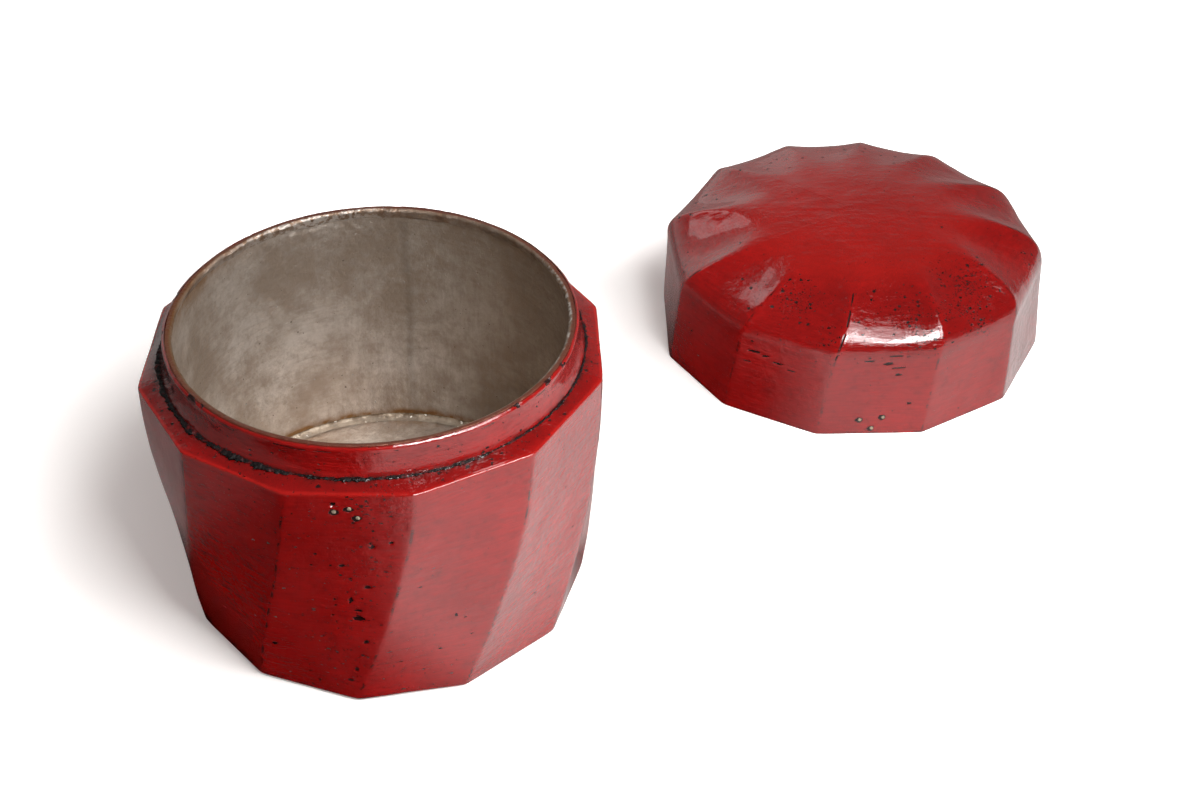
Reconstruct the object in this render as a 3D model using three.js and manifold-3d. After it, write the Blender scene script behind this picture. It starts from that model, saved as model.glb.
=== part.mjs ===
// Lacquered wooden box of twisted, hand-cut facets with a tin lining and a lift-off lid.
// Millimetres and degrees, +Z up. The body stands on the origin and its lid lies beside it, top up.

import * as THREE from 'three';
import { mergeVertices } from 'three/addons/utils/BufferGeometryUtils.js';
import Module from 'manifold-3d';

// Carving that runs on from the body to the lid
const FACETS = 12;
const FRONT_ANGLE = -90; // direction that the facet with the pegs faces
const RIDGE_STRAY = [-1.3, -0.8, -0.4, 2.4, 3.6, 2.6, -1.4, -4.5, -7, -3, 1.1, -0.6]; // of each ridge

// Body, measured over its ridges
const BODY_RADIUS = 90; // at the shoulder
const FOOT_INSET = 10.6; // how far the body draws in from shoulder to foot
const FOOT_CHAMFER = 1.2;
const BODY_HEIGHT = 110; // up to the shoulder's outer edge
const BODY_TWIST = 19; // turn of the ridges from foot to shoulder
const BODY_TWIST_POWER = 1.4; // the turn is quicker near the foot
const BASE_THICKNESS = 19.5;
const SHOULDER_WIDTH = 9.2; // from the ridges in to the neck
const SHOULDER_RISE = 2.2; // from the outer edge up to the neck

// Neck that the lid slides over
const NECK_HEIGHT = 12.1; // above the shoulder, up to the rim
const NECK_TAPER = 2; // drawn in from its foot to its top
const NECK_WALL = 1.5; // at its top
const NECK_SEAT = 9; // let into the body

// Tin lining
const SHEET = 0.8;
const LINING_TAPER = 3.7; // drawn in from the mouth to the floor
const BEAD_LEG = 2; // of the soldered fillet round the floor
const RIM_FOLD = 3.5; // how far the rim strip turns down inside

// Lid, measured over its ridges
const LID_OVERHANG = 0.2; // past the shoulder's outer edge
const LID_TAPER = 2.1; // drawn in from its edge to the top of its wall
const LID_WALL_HEIGHT = 37;
const LID_HEIGHT = 63.4;
const LID_WALL_TWIST = 3.3;
const LID_DOME_TWIST = 7.6;
const DOME_TWIST_POWER = 0.75; // the turn is quicker near the wall
const DOME_POWER = 3.1; // squareness of the rounded shoulder
const FLUTE_END_RADIUS = 46; // of the smooth disc where the flutes have run out
const FLUTE_FADE = 26; // length over which they grow shallow
const CROWN_THICKNESS = 9.5; // of the wood over the hollow
const HOLLOW_DROP = 5; // the hollow's dome springs this much lower than the outside's

// Pegs, as [across the facet, from the edge at the seam]
const PEG_RADIUS = 0.95;
const PEG_HEAD = 0.45; // height of the rounded head
const PEG_BACKING = 1.5; // wood left behind a peg's hole
const BODY_PEGS = [[-5, 7.9], [0.4, 6.4], [3.7, 10.6]];
const LID_PEGS = [[-5.5, 7.6], [4.7, 8.7], [0.7, 3]];

// Fits and the lid's place
const FIT_GAP = 0.3; // between pieces set into each other
const LID_CLEARANCE = 0.7; // round the neck
const NECK_HEADROOM = 1.2; // over the rim when the lid is on
const LID_SPACING = 88; // between body and lid, ridge to ridge
const LID_BEARING = 40.3; // from body to lid
const LID_TURN = 2.4; // from the way it faces when it is on

// Fineness of the faceted surfaces
const STEPS_PER_FACET = 5;
const BODY_STEPS = 8;
const NECK_STEPS = 4;
const LID_WALL_STEPS = 3;
const DOME_STEPS = 12;
const HOLLOW_STEPS = 6;
const BEAD_STEPS = 3;
const PEG_SIDES = 10;
const PEG_HEAD_STEPS = 3;

// Sizes that follow from those above
const RING_POINTS = FACETS * STEPS_PER_FACET;
const FACET_ANGLE = 360 / FACETS;
const FIRST_RIDGE = FRONT_ANGLE - FACET_ANGLE / 2;

const shoulderTop = BODY_HEIGHT + SHOULDER_RISE;
const rimTop = shoulderTop + NECK_HEIGHT;
const neckTop = rimTop - SHEET - FIT_GAP;
const neckSeat = shoulderTop - NECK_SEAT;
const neckFootRadius = BODY_RADIUS - SHOULDER_WIDTH;
const neckTopRadius = neckFootRadius - NECK_TAPER;
const seatRadius = neckFootRadius + FIT_GAP;
const mouthRadius = neckTopRadius - NECK_WALL - FIT_GAP - SHEET;

const liningFoot = BASE_THICKNESS + FIT_GAP;
const floorTop = liningFoot + SHEET;

const lidRadius = BODY_RADIUS + LID_OVERHANG;
const lidBore = neckFootRadius + LID_CLEARANCE;
const lidLedge = NECK_HEIGHT + NECK_HEADROOM;
const domeRadius = lidRadius - LID_TAPER;
const hollowRadius = mouthRadius + SHEET + FIT_GAP;
const hollowSpring = LID_WALL_HEIGHT - HOLLOW_DROP;
const hollowTop = LID_HEIGHT - CROWN_THICKNESS;

const wasm = await Module();
wasm.setup();

const { degToRad, lerp } = THREE.MathUtils;

// Point at a radius, an angle in degrees and a height
function polar(radius, angle, z) {
  const a = degToRad(angle);
  return new THREE.Vector3(radius * Math.cos(a), radius * Math.sin(a), z);
}

// Angle of a ridge at the seam between body and lid
function ridgeAngle(ridge) {
  const stray = RIDGE_STRAY[(ridge % FACETS) % RIDGE_STRAY.length];
  return FIRST_RIDGE + FACET_ANGLE * ridge + stray;
}

// Depth of a flat cut below the circle through its two ridges, as a share of the circle's radius
function cutDepth(facet) {
  const halfWidth = (ridgeAngle(facet + 1) - ridgeAngle(facet)) / 2;
  return 1 - Math.cos(degToRad(halfWidth));
}

// Ring of facets cut into a turned form. slope is the form's outward normal as [radial, upward], and
// fade goes from 0, a full cut from ridge to ridge, to 1, where the cut has run out.
function carvedRing({ radius, z, twist, slope = [1, 0], cutRadius = radius, fade = 0 }) {
  const ring = [];
  for (let facet = 0; facet < FACETS; facet += 1) {
    const depth = cutRadius * cutDepth(facet);
    for (let step = 0; step < STEPS_PER_FACET; step += 1) {
      const share = step / STEPS_PER_FACET;
      const across = 2 * share - 1;
      const cut = depth * Math.max(0, 1 - fade ** 2 - across ** 2);
      const angle = lerp(ridgeAngle(facet), ridgeAngle(facet + 1), share) + twist;
      ring.push(polar(radius - cut * slope[0], angle, z - cut * slope[1]));
    }
  }
  return ring;
}

// Plain circle with as many points as a carved ring
function roundRing(radius, z) {
  const angles = Array.from({ length: RING_POINTS }, (_, i) => FIRST_RIDGE + (360 * i) / RING_POINTS);
  return angles.map((angle) => polar(radius, angle, z));
}

// Closed skin over a run of rings, from the middle of one end to the middle of the other. The rings run
// anticlockwise seen from above, and go up on the outside and down on the inside.
function ringSolid(rings, firstMiddle, lastMiddle) {
  const points = [...rings.flat(), firstMiddle, lastMiddle];
  const first = points.length - 2;
  const last = points.length - 1;
  const lastRing = (rings.length - 1) * RING_POINTS;
  const faces = [];
  for (let i = 0; i < RING_POINTS; i += 1) {
    const next = (i + 1) % RING_POINTS;
    faces.push(first, next, i);
    for (let row = 0; row < lastRing; row += RING_POINTS) {
      const above = row + RING_POINTS;
      faces.push(row + i, row + next, above + next);
      faces.push(row + i, above + next, above + i);
    }
    faces.push(last, lastRing + i, lastRing + next);
  }
  const geometry = new THREE.BufferGeometry().setFromPoints(points);
  geometry.setIndex(faces);
  geometry.computeVertexNormals();
  return geometry;
}

function profilePoints(profile) {
  return profile.map(([radius, height]) => new THREE.Vector2(radius, height));
}

// Turned piece from a profile of [radius, height] points, its corners in line with the round rings
function turned(profile) {
  const start = degToRad(FIRST_RIDGE - FRONT_ANGLE);
  return new THREE.LatheGeometry(profilePoints(profile), RING_POINTS, start).rotateX(Math.PI / 2);
}

// Turned piece whose profile closes on itself
function turnedRing(profile) {
  return turned([...profile, profile[0]]);
}

// Solid for cutting, from a closed geometry
function solidOf(geometry) {
  const bare = geometry.clone();
  bare.deleteAttribute('normal');
  bare.deleteAttribute('uv');
  const merged = mergeVertices(bare);
  const triVerts = Uint32Array.from(merged.index.array);
  const mesh = new wasm.Mesh({ numProp: 3, vertProperties: merged.attributes.position.array, triVerts });
  return new wasm.Manifold(mesh);
}

// Geometry with holes of the given cutters
function drilled(geometry, cutters) {
  const holes = cutters.map(solidOf);
  const mesh = holes.reduce((solid, hole) => solid.subtract(hole), solidOf(geometry)).getMesh();
  const result = new THREE.BufferGeometry();
  result.setAttribute('position', new THREE.BufferAttribute(mesh.vertProperties, 3));
  result.setIndex(new THREE.BufferAttribute(mesh.triVerts, 1));
  result.computeVertexNormals();
  return result;
}

// Turned form of the body and the turn of its ridges at a height
function bodyRadius(z) {
  const below = 1 - z / BODY_HEIGHT;
  return BODY_RADIUS - FOOT_INSET * below ** 2;
}

function bodyTwist(z) {
  const below = 1 - z / BODY_HEIGHT;
  return -BODY_TWIST * below ** BODY_TWIST_POWER;
}

// Inside of the tapered lining wall at a height, and the wood's bore round it
function liningRadius(z) {
  const below = (rimTop - z) / (rimTop - floorTop);
  return mouthRadius - LINING_TAPER * below;
}

function boreRadius(z) {
  return liningRadius(z) + SHEET + FIT_GAP;
}

// Turned form of the lid's wall and the turn of its ridges at a height
function lidWallRadius(z) {
  return lidRadius - (LID_TAPER * z) / LID_WALL_HEIGHT;
}

function lidWallTwist(z) {
  return (LID_WALL_TWIST * z) / LID_WALL_HEIGHT;
}

// Point on a square-shouldered dome, from share 0 at its springing to 1 at its middle
function domePoint(radius, spring, top, share) {
  const a = (share * Math.PI) / 2;
  return [radius * Math.cos(a), spring + (top - spring) * Math.sin(a) ** (2 / DOME_POWER)];
}

// Profile of the hollow's dome from its springing up to the point before its middle
function hollowProfile(radius, spring, top) {
  const shares = Array.from({ length: HOLLOW_STEPS }, (_, i) => i / HOLLOW_STEPS);
  return shares.map((share) => domePoint(radius, spring, top, share));
}

function bodyShell() {
  const foot = carvedRing({ radius: bodyRadius(0) - FOOT_CHAMFER, z: 0, twist: bodyTwist(0) });
  const rings = [foot];
  for (let step = 0; step <= BODY_STEPS; step += 1) {
    const z = lerp(FOOT_CHAMFER, BODY_HEIGHT, step / BODY_STEPS);
    rings.push(carvedRing({ radius: bodyRadius(z), z, twist: bodyTwist(z) }));
  }
  rings.push(roundRing(seatRadius, shoulderTop));
  rings.push(roundRing(seatRadius, neckSeat));
  rings.push(roundRing(boreRadius(neckSeat), neckSeat));
  rings.push(roundRing(boreRadius(BASE_THICKNESS), BASE_THICKNESS));
  return ringSolid(rings, new THREE.Vector3(), new THREE.Vector3(0, 0, BASE_THICKNESS));
}

function neckRing() {
  const foot = neckSeat + FIT_GAP;
  const profile = [[boreRadius(foot), foot], [neckFootRadius, foot]];
  for (let step = 0; step <= NECK_STEPS; step += 1) {
    const share = step / NECK_STEPS;
    const flare = NECK_TAPER * (1 - share) ** 3;
    profile.push([neckTopRadius + flare, lerp(shoulderTop, neckTop, share)]);
  }
  profile.push([boreRadius(neckTop), neckTop]);
  return turnedRing(profile);
}

function bodyLiningWall() {
  const profile = [];
  profile.push([liningRadius(liningFoot), liningFoot]);
  profile.push([liningRadius(liningFoot) + SHEET, liningFoot]);
  profile.push([liningRadius(neckTop) + SHEET, neckTop]);
  profile.push([liningRadius(neckTop), neckTop]);
  return turnedRing(profile);
}

function bodyLiningFloor() {
  const radius = liningRadius(liningFoot) - FIT_GAP;
  return turned([[0, liningFoot], [radius, liningFoot], [radius, floorTop], [0, floorTop]]);
}

// Fillet with a hollow face in the corner of floor and wall
function floorBead() {
  const foot = floorTop + FIT_GAP;
  const wall = liningRadius(foot) - FIT_GAP;
  const profile = [[wall, foot]];
  for (let step = 0; step <= BEAD_STEPS; step += 1) {
    const a = (step / BEAD_STEPS) * (Math.PI / 2);
    profile.push([wall - BEAD_LEG * (1 - Math.sin(a)), foot + BEAD_LEG * (1 - Math.cos(a))]);
  }
  return turnedRing(profile.reverse());
}

// Strip of sheet laid over the rim and turned down inside
function rimStrip() {
  const under = rimTop - SHEET;
  const inner = mouthRadius - FIT_GAP - SHEET;
  const profile = [[inner, rimTop - RIM_FOLD], [inner + SHEET, rimTop - RIM_FOLD]];
  profile.push([inner + SHEET, under], [neckTopRadius, under]);
  profile.push([neckTopRadius, rimTop], [inner, rimTop]);
  return turnedRing(profile);
}

// Outside of the lid: straight facets up its wall, then flutes that run out over the dome
function lidOutside() {
  const rings = [];
  for (let step = 0; step < LID_WALL_STEPS; step += 1) {
    const z = (LID_WALL_HEIGHT * step) / LID_WALL_STEPS;
    rings.push(carvedRing({ radius: lidWallRadius(z), z, twist: lidWallTwist(z) }));
  }
  for (let step = 0; step < DOME_STEPS; step += 1) {
    const share = step / DOME_STEPS;
    const nextShare = (step + 0.5) / DOME_STEPS;
    const [radius, z] = domePoint(domeRadius, LID_WALL_HEIGHT, LID_HEIGHT, share);
    const [nextRadius, nextZ] = domePoint(domeRadius, LID_WALL_HEIGHT, LID_HEIGHT, nextShare);
    const slope = new THREE.Vector2(nextZ - z, radius - nextRadius).normalize().toArray();
    const twist = LID_WALL_TWIST + LID_DOME_TWIST * share ** DOME_TWIST_POWER;
    const fade = Math.max(0, (FLUTE_END_RADIUS + FLUTE_FADE - radius) / FLUTE_FADE);
    rings.push(carvedRing({ radius, z, twist, slope, cutRadius: domeRadius, fade }));
  }
  return rings;
}

function lidShell() {
  const hollow = hollowProfile(hollowRadius, hollowSpring, hollowTop).reverse();
  hollow.push([hollowRadius, lidLedge], [lidBore, lidLedge], [lidBore, 0]);
  const inside = hollow.map(([radius, z]) => roundRing(radius, z));
  const hollowMiddle = new THREE.Vector3(0, 0, hollowTop);
  const topMiddle = new THREE.Vector3(0, 0, LID_HEIGHT);
  return ringSolid([...inside, ...lidOutside()], hollowMiddle, topMiddle);
}

function lidLiningWall() {
  const outer = mouthRadius + SHEET;
  const top = hollowSpring - FIT_GAP;
  return turnedRing([[mouthRadius, lidLedge], [outer, lidLedge], [outer, top], [mouthRadius, top]]);
}

function lidLiningCrown() {
  const outerTop = hollowTop - FIT_GAP;
  const outer = hollowProfile(mouthRadius + SHEET, hollowSpring, outerTop);
  const inner = hollowProfile(mouthRadius, hollowSpring, outerTop - SHEET).reverse();
  return turned([[0, outerTop - SHEET], ...inner, ...outer, [0, outerTop]]);
}

// Marked facet at a height: its direction and its distance from the axis
function markedFacet(radius, twist) {
  const direction = (ridgeAngle(0) + ridgeAngle(1)) / 2 + twist;
  return { direction, distance: radius * (1 - cutDepth(0)) };
}

// Places of the pegs on a facet, with the length that the wood behind them leaves
function pegPlaces(pegs, facetAt, heightOf, boreBehind) {
  return pegs.map(([across, fromEdge]) => {
    const z = heightOf(fromEdge);
    const { direction, distance } = facetAt(z);
    const position = new THREE.Vector3(distance, across, z);
    position.applyAxisAngle(new THREE.Vector3(0, 0, 1), degToRad(direction));
    const length = distance - boreBehind - PEG_BACKING - FIT_GAP;
    return { position, direction, length };
  });
}

const bodyPegPlaces = pegPlaces(
  BODY_PEGS,
  (z) => markedFacet(bodyRadius(z), bodyTwist(z)),
  (fromEdge) => BODY_HEIGHT - fromEdge,
  seatRadius,
);

const lidPegPlaces = pegPlaces(
  LID_PEGS,
  (z) => markedFacet(lidWallRadius(z), lidWallTwist(z)),
  (fromEdge) => fromEdge,
  lidBore,
);

// Hole for a peg, in the place of the piece that it is drilled in
function pegHole({ position, direction, length }) {
  const depth = length + FIT_GAP;
  const mouth = 2 * PEG_RADIUS;
  const radius = PEG_RADIUS + FIT_GAP;
  const hole = new THREE.CylinderGeometry(radius, radius, depth + mouth, PEG_SIDES);
  hole.translate(0, (mouth - depth) / 2, 0);
  hole.rotateZ(degToRad(direction) - Math.PI / 2);
  return hole.translate(...position);
}

// Peg along +X with its rounded head outwards
function pegGeometry(length) {
  const profile = [[0, -length], [PEG_RADIUS, -length]];
  for (let step = 0; step <= PEG_HEAD_STEPS; step += 1) {
    const a = ((step / PEG_HEAD_STEPS) * Math.PI) / 2;
    profile.push([PEG_RADIUS * Math.cos(a), PEG_HEAD * Math.sin(a)]);
  }
  return new THREE.LatheGeometry(profilePoints(profile), PEG_SIDES).rotateZ(-Math.PI / 2);
}

function lacquer() {
  return new THREE.MeshStandardMaterial({ color: 0x9c1512, roughness: 0.3, metalness: 0 });
}

function tin() {
  return new THREE.MeshStandardMaterial({ color: 0x978c80, roughness: 0.45, metalness: 0.9 });
}

function stainedTin() {
  return new THREE.MeshStandardMaterial({ color: 0x8a6a45, roughness: 0.5, metalness: 0.7 });
}

function pegMetal() {
  return new THREE.MeshStandardMaterial({ color: 0xa89a88, roughness: 0.5, metalness: 0.6 });
}

function piece(name, geometry, material) {
  const mesh = new THREE.Mesh(geometry, material);
  mesh.name = name;
  return mesh;
}

function pegs(prefix, places) {
  return places.map(({ position, direction, length }, i) => {
    const mesh = piece(`${prefix}_${i + 1}`, pegGeometry(length), pegMetal());
    mesh.position.copy(position);
    mesh.rotation.z = degToRad(direction);
    return mesh;
  });
}

const body = new THREE.Group();
body.add(piece('body_shell', drilled(bodyShell(), bodyPegPlaces.map(pegHole)), lacquer()));
body.add(piece('neck_ring', neckRing(), lacquer()));
body.add(piece('body_lining_wall', bodyLiningWall(), tin()));
body.add(piece('body_lining_floor', bodyLiningFloor(), tin()));
body.add(piece('floor_bead', floorBead(), stainedTin()));
body.add(piece('rim_strip', rimStrip(), stainedTin()));
body.add(...pegs('body_peg', bodyPegPlaces));

const lid = new THREE.Group();
lid.add(piece('lid_shell', drilled(lidShell(), lidPegPlaces.map(pegHole)), lacquer()));
lid.add(piece('lid_lining_wall', lidLiningWall(), tin()));
lid.add(piece('lid_lining_crown', lidLiningCrown(), tin()));
lid.add(...pegs('lid_peg', lidPegPlaces));
lid.position.copy(polar(BODY_RADIUS + LID_SPACING + lidRadius, LID_BEARING, 0));
lid.rotation.z = degToRad(LID_TURN);

const box = new THREE.Group();
box.add(body, lid);

export default box;
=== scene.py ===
"""Looks of a carved box in red lacquer, with a tin lining and a lift-off lid.

Shapes are worked out in millimetres and degrees, and become metres in the meshes.
"""

import math
from functools import partial, reduce
from types import SimpleNamespace

import bpy
import numpy as np
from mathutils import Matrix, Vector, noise


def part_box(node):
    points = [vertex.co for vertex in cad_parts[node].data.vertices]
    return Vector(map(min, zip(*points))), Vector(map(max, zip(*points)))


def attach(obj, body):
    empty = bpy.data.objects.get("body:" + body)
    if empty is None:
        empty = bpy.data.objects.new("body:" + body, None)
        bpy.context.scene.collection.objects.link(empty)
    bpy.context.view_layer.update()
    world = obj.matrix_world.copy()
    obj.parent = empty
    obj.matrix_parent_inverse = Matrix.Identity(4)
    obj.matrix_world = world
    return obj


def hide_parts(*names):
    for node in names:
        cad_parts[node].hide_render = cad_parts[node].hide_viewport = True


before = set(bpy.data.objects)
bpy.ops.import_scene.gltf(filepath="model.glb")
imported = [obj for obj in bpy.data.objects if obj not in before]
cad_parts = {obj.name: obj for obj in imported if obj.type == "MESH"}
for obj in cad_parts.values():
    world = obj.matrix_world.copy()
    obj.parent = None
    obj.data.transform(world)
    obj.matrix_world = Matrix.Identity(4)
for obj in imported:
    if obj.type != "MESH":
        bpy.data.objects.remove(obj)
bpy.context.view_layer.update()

MM = 0.001

# Carving that runs on from the body to the lid
FACETS = 12
MARKED_FACET = 0  # the one with the pegs
LEFT_FACET = FACETS - 1  # to the left of it
FIRST_RIDGE = -105
RIDGE_STRAY = (-1.3, -0.8, -0.4, 2.4, 3.6, 2.6, -1.4, -4.5, -7, -3, 1.1, -0.6)
RIDGE_SOFTNESS = 0.34  # how much a ridge is worn down
RIDGE_WANDER = 0.55  # sideways, of the knife
RIDGE_WEAR = 1.1  # width of the worn line
PETAL_SOFTNESS = 0.5  # of the ends of the flutes, as a share of their depth

# Body, measured over its ridges
BODY_RADIUS = 90
FOOT_INSET = 10.6
FOOT_CHAMFER = 1.2
BODY_HEIGHT = 110
BODY_TWIST = 19
BODY_TWIST_POWER = 1.4
BASE_THICKNESS = 19.5
EDGE_ROUND = 0.7  # of the shoulder's outer edge
EDGE_HIGHLIGHT = 0.9  # height of the painted highlight line below that edge
FOOT_WEAR = 1.4
GRIME_REACH = 2.2  # from the neck over the shoulder
SHOULDER_SHADED_SIDE = 185  # of the shoulder, where its painted shade is darkest

# Neck and the tin lining
NECK_FOOT_RADIUS = 80.8
NECK_TOP_RADIUS = 78.8
NECK_SEAT = 9
# Side of the neck darkened by painted shade
NECK_SHADED_SIDE = 205
NECK_FOOT_WEAR = 1.3
NECK_CHIP_DEPTH = 0.25
CRACK_DROP = 1.9  # of the crack in the lacquer, from the rim
CRACK_WIDTH = 0.22
SEAT_GAP = 0.3
SHEET = 0.8
MOUTH_RADIUS = 76.2
LINING_TAPER = 3.7
# Side of the lining wall darkened by patina and painted shade
LINING_SHADED_SIDE = 20
SEAM_ANGLE = 85  # of the lap of the lining wall
SEAM_LAP = 40  # of the sheet over itself
CREASE_DEPTH = 7  # of the creased bulge, from the rim
RIM_STAIN = 7  # depth of the stain below the rim
BEAD_STAIN = 2.2
BEAD_WIDTH = 3.2
BEAD_RISE = 1.7
BEAD_GAP = 0.1
RIM_FOLD = 3.5
RIM_GAP = 0.05  # between the rim and the lacquer round it
RIM_LAP = 1.2  # of the lacquer over the outer edge of the rim
RIM_OCHRE_SIDE = 178
RIM_CREASED_SIDE = 110
RIM_FROSTY_SIDE = 0
# Back of the rim, whose inner edge has painted glints
RIM_GLINTING_BACK = 115
RIM_HIGH_SIDE = 95
RIM_LIFT = 1.0  # at the high side
LIP_DROP = 1.1  # of the lacquer where it rounds over
LIP_POWER = 1.4
CRUST_SIZE = (1.2, 0.55)
CRUST_PLACE = (0.35, 0.05)  # from the corner that it lies in
CRUST_WIDE_SIDE = 235
CRUST_WET_SIDE = 300

# Lid, measured over its ridges
LID_RADIUS = 90.2
LID_TAPER = 2.1
LID_WALL_HEIGHT = 37
LID_WALL_TWIST = 3.3
LID_DOME_TWIST = 7.6
DOME_TWIST_POWER = 0.75
DOME_POWER = 3.1
FLUTE_END_RADIUS = 46
FLUTE_FADE = 26
LID_BORE = 81.5
LID_LEDGE = 13.3
LID_CHAMFER = 0.4  # of the bore
HOLLOW_SPRING = 32
HOLLOW_TOP = 53.9
LID_TURN = 2.4
LID_EDGE_WEAR = 0.8
DOME_SHOULDER_RADIUS = 71
DOME_SHOULDER_REACH = 13
LID_SHADED_SIDE = 262  # of the painted shade in the flutes' hollows
# Side of the dome brightened by painted light
LID_LIT_SIDE = 85

# Pegs in the marked facet, as [across, height]
PEG_RADIUS = 0.95
PEG_HEAD = 0.45
PEG_SHANK = 1.2
BODY_PEGS = ((-5, BODY_HEIGHT - 7.9), (0.4, BODY_HEIGHT - 6.4), (3.7, BODY_HEIGHT - 10.6))
LID_PEGS = ((-5.5, 7.6), (4.7, 8.7), (0.7, 3))
EMPTY_HOLE = (-5.9, BODY_HEIGHT - 4.6)
HOLE_DEPTH = 1.2

# Chips down to the dark ground in the marked facet, as [across, height, half width, half height]
BODY_CHIPS = (
    (0.7, 75.5, 1.5, 0.7),
    (11.7, 65.2, 1.5, 0.8),
    (6.8, 57.4, 0.9, 1.6),
    (10.5, 52.3, 1.7, 0.6),
    (11.6, 47.8, 2.5, 1.2),
    (17, 35.6, 1.1, 0.9),
    (16.8, 18.8, 0.8, 0.8),
    (15.9, 11.9, 1.3, 0.7),
    (10.5, 85.7, 0.7, 1.1),
    (16.7, 87.8, 0.8, 0.5),
    (-17.5, 25.3, 1.3, 0.7),
)
LID_CHIPS = (
    (0.9, 36.6, 2.6, 0.6),
    (6, 34.3, 2.8, 0.5),
    (-8, 38.4, 2.2, 0.5),
    (3.6, 40.7, 3, 0.4),
    (7, 30.8, 2, 0.4),
    (15, 15.7, 1.4, 0.6),
)

# The same in the facet to the left of the marked one
LID_LEFT_CHIPS = (
    (-14.5, 33.5, 3.2, 0.6),
    (-9, 32.6, 2, 0.45),
    (-2.5, 30.6, 2.4, 0.55),
    (-17, 27.5, 2.2, 0.45),
    (4.5, 28.6, 1.8, 0.45),
)

# Depth and edges of the chips
BODY_CHIP_DEPTH = 0.3
LID_CHIP_DEPTH = 0.25
SCAR_DEPTH = 0.15  # of the ridge at the left of the marked facet
SCAR_WIDTH = 0.55
CHIP_GRAIN = 1.1  # size of the notches in a chip's edge
CHIP_RAGGEDNESS = 0.45
FLECKS_ACROSS = 8  # middle of those in the marked facet
FLECKS_REACH = 9

# Pitted places in the lid's flutes, as [bearing, distance from the middle, reach]
LID_PITTED = ((311, 66, 11), (303, 80, 8), (241, 69, 9), (254, 81, 5), (284, 76, 10), (298, 74, 8))

# Unevenness, as layers of [height, size of the swells, seed]
RIDGE_WANDERS = ((1, 26, 40), (0.5, 9, 41))
KNIFE_MARKS = ((0.3, 34, 1), (0.1, 11, 2), (0.026, 3.5, 3))
DOME_DAUBS = ((0.09, 6, 45), (0.035, 2.8, 46))
SHOULDER_WAVES = ((0.2, 22, 5),)
NECK_WAVES = ((0.3, 24, 7), (0.1, 6, 8))
CRUST_LUMPS = ((0.7, 2.4, 13), (0.7, 0.9, 14), (0.9, 7, 15))
TIN_DENTS = ((0.4, 21, 17), (0.14, 7, 18), (0.04, 2.6, 19))
TIN_CREASES = ((1, 8, 47), (1, 3, 48))
FLOOR_DENTS = ((0.3, 24, 21), (0.08, 7, 22))
CROWN_DENTS = ((0.3, 20, 35), (0.06, 6, 36))
BEAD_LUMPS = ((0.4, 3, 23), (0.3, 1.2, 24), (0.5, 9, 25))
RIM_BULGES = ((0.5, 12, 26), (0.35, 4, 27), (0.12, 1.6, 44))
RIM_KNOCKS = ((0.3, 14, 37), (0.2, 5, 28), (0.12, 1.6, 29))
PEG_SEED = 40
SEED_STEP = (17.3, -9.1, 5.7)  # from one seed's noise to the next
IN_PLAN = (1, 1, 0)  # for noise that is the same at every height
IN_HEIGHT = (0, 0, 1)  # for noise that is the same all round

# Fineness of the meshes
FACET_STEPS = 36
MARKED_STEPS = 96
RIDGE_CROWDING = 0.6
BODY_ROWS = 190
SHOULDER_ROWS = 16
LID_WALL_ROWS = 70
DOME_ROWS = 130
DOME_SAMPLES = 6001
HOLLOW_ROWS = 24
EDGE_ROWS = 4
ROUND_COLUMNS = 480
NECK_ROWS = 40
LIP_ROWS = 6
LINING_ROWS = 110
FLOOR_ROWS = 60
LID_LINING_ROWS = 20
CROWN_ROWS = 40
CRUST_POINTS = 14
BEAD_POINTS = 9
PEG_ROWS = 8
PEG_COLUMNS = 36
SHARP_ANGLE = 50  # between faces that meet in a crisp edge

# Camera of the photograph
PHOTO_WIDTH = 1200
FOCAL_PIXELS = 2113.4
SENSOR_WIDTH = 36
CAMERA_PLACE = (0.0866, -0.6538, 0.5874)
CAMERA_PITCH = 37.53

# Stage, in metres
FLOOR_REACH = 6
FLOOR_DROP = 0.0002  # below the feet
SHADED_MIDDLE = (0.15, 0.09, 0)
BESIDE_BODY = (0.095, 0.035, 0)
RIGHTWARDS = (1, -0.9, 0)
BACKWARDS = (-0.35, 1, 0)
LEFTWARDS = (-1, 0.5, 0)
LAMP_TARGET = (0.1, 0.06, 0.06)


def millimetres(node):
    """Lowest and highest corner of a node of the frame."""
    low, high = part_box(node)
    return np.array(low) / MM, np.array(high) / MM


# Heights and places that the frame gives
SHOULDER_TOP = millimetres("body_shell")[1][2]
RIM_TOP = millimetres("rim_strip")[1][2]
FLOOR_TOP = millimetres("body_lining_floor")[1][2]
LINING_FOOT = millimetres("body_lining_wall")[0][2]
NECK_TOP = millimetres("neck_ring")[1][2]
LID_HEIGHT = millimetres("lid_shell")[1][2]
LID_CENTRE = sum(millimetres("lid_lining_wall"))[:2] / 2


# Helpers for shapes

def bumps(points, size, seed):
    """Soft noise from -1 to 1 whose swells are about size millimetres across."""
    spots = points.reshape(-1, 3) / size + np.array(SEED_STEP) * seed
    values = np.array([noise.noise(spot) for spot in spots.tolist()])
    return values.reshape(points.shape[:-1])


def layered(points, layers):
    """Sum of layers of soft noise."""
    return sum(height * bumps(points, size, seed) for height, size, seed in layers)


def smooth_step(value, low, high):
    """Smooth change from 0 to 1 as value goes from low to high."""
    share = np.clip((value - low) / (high - low), 0, 1)
    return share * share * (3 - 2 * share)


def near(distance, reach):
    """How near, from 1 at no distance to little past the reach."""
    return np.exp(-((distance / reach) ** 2))


def axis_distance(points):
    return np.linalg.norm(points[..., :2], axis=-1)


def bearings(points):
    return np.degrees(np.arctan2(points[..., 1], points[..., 0]))


def facing(points, side, reach):
    """How near each point's bearing is to a side, from 1 there to 0 at reach degrees away."""
    away = np.abs((bearings(points) - side + 180) % 360 - 180)
    return smooth_step(away, reach, 0)


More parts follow.
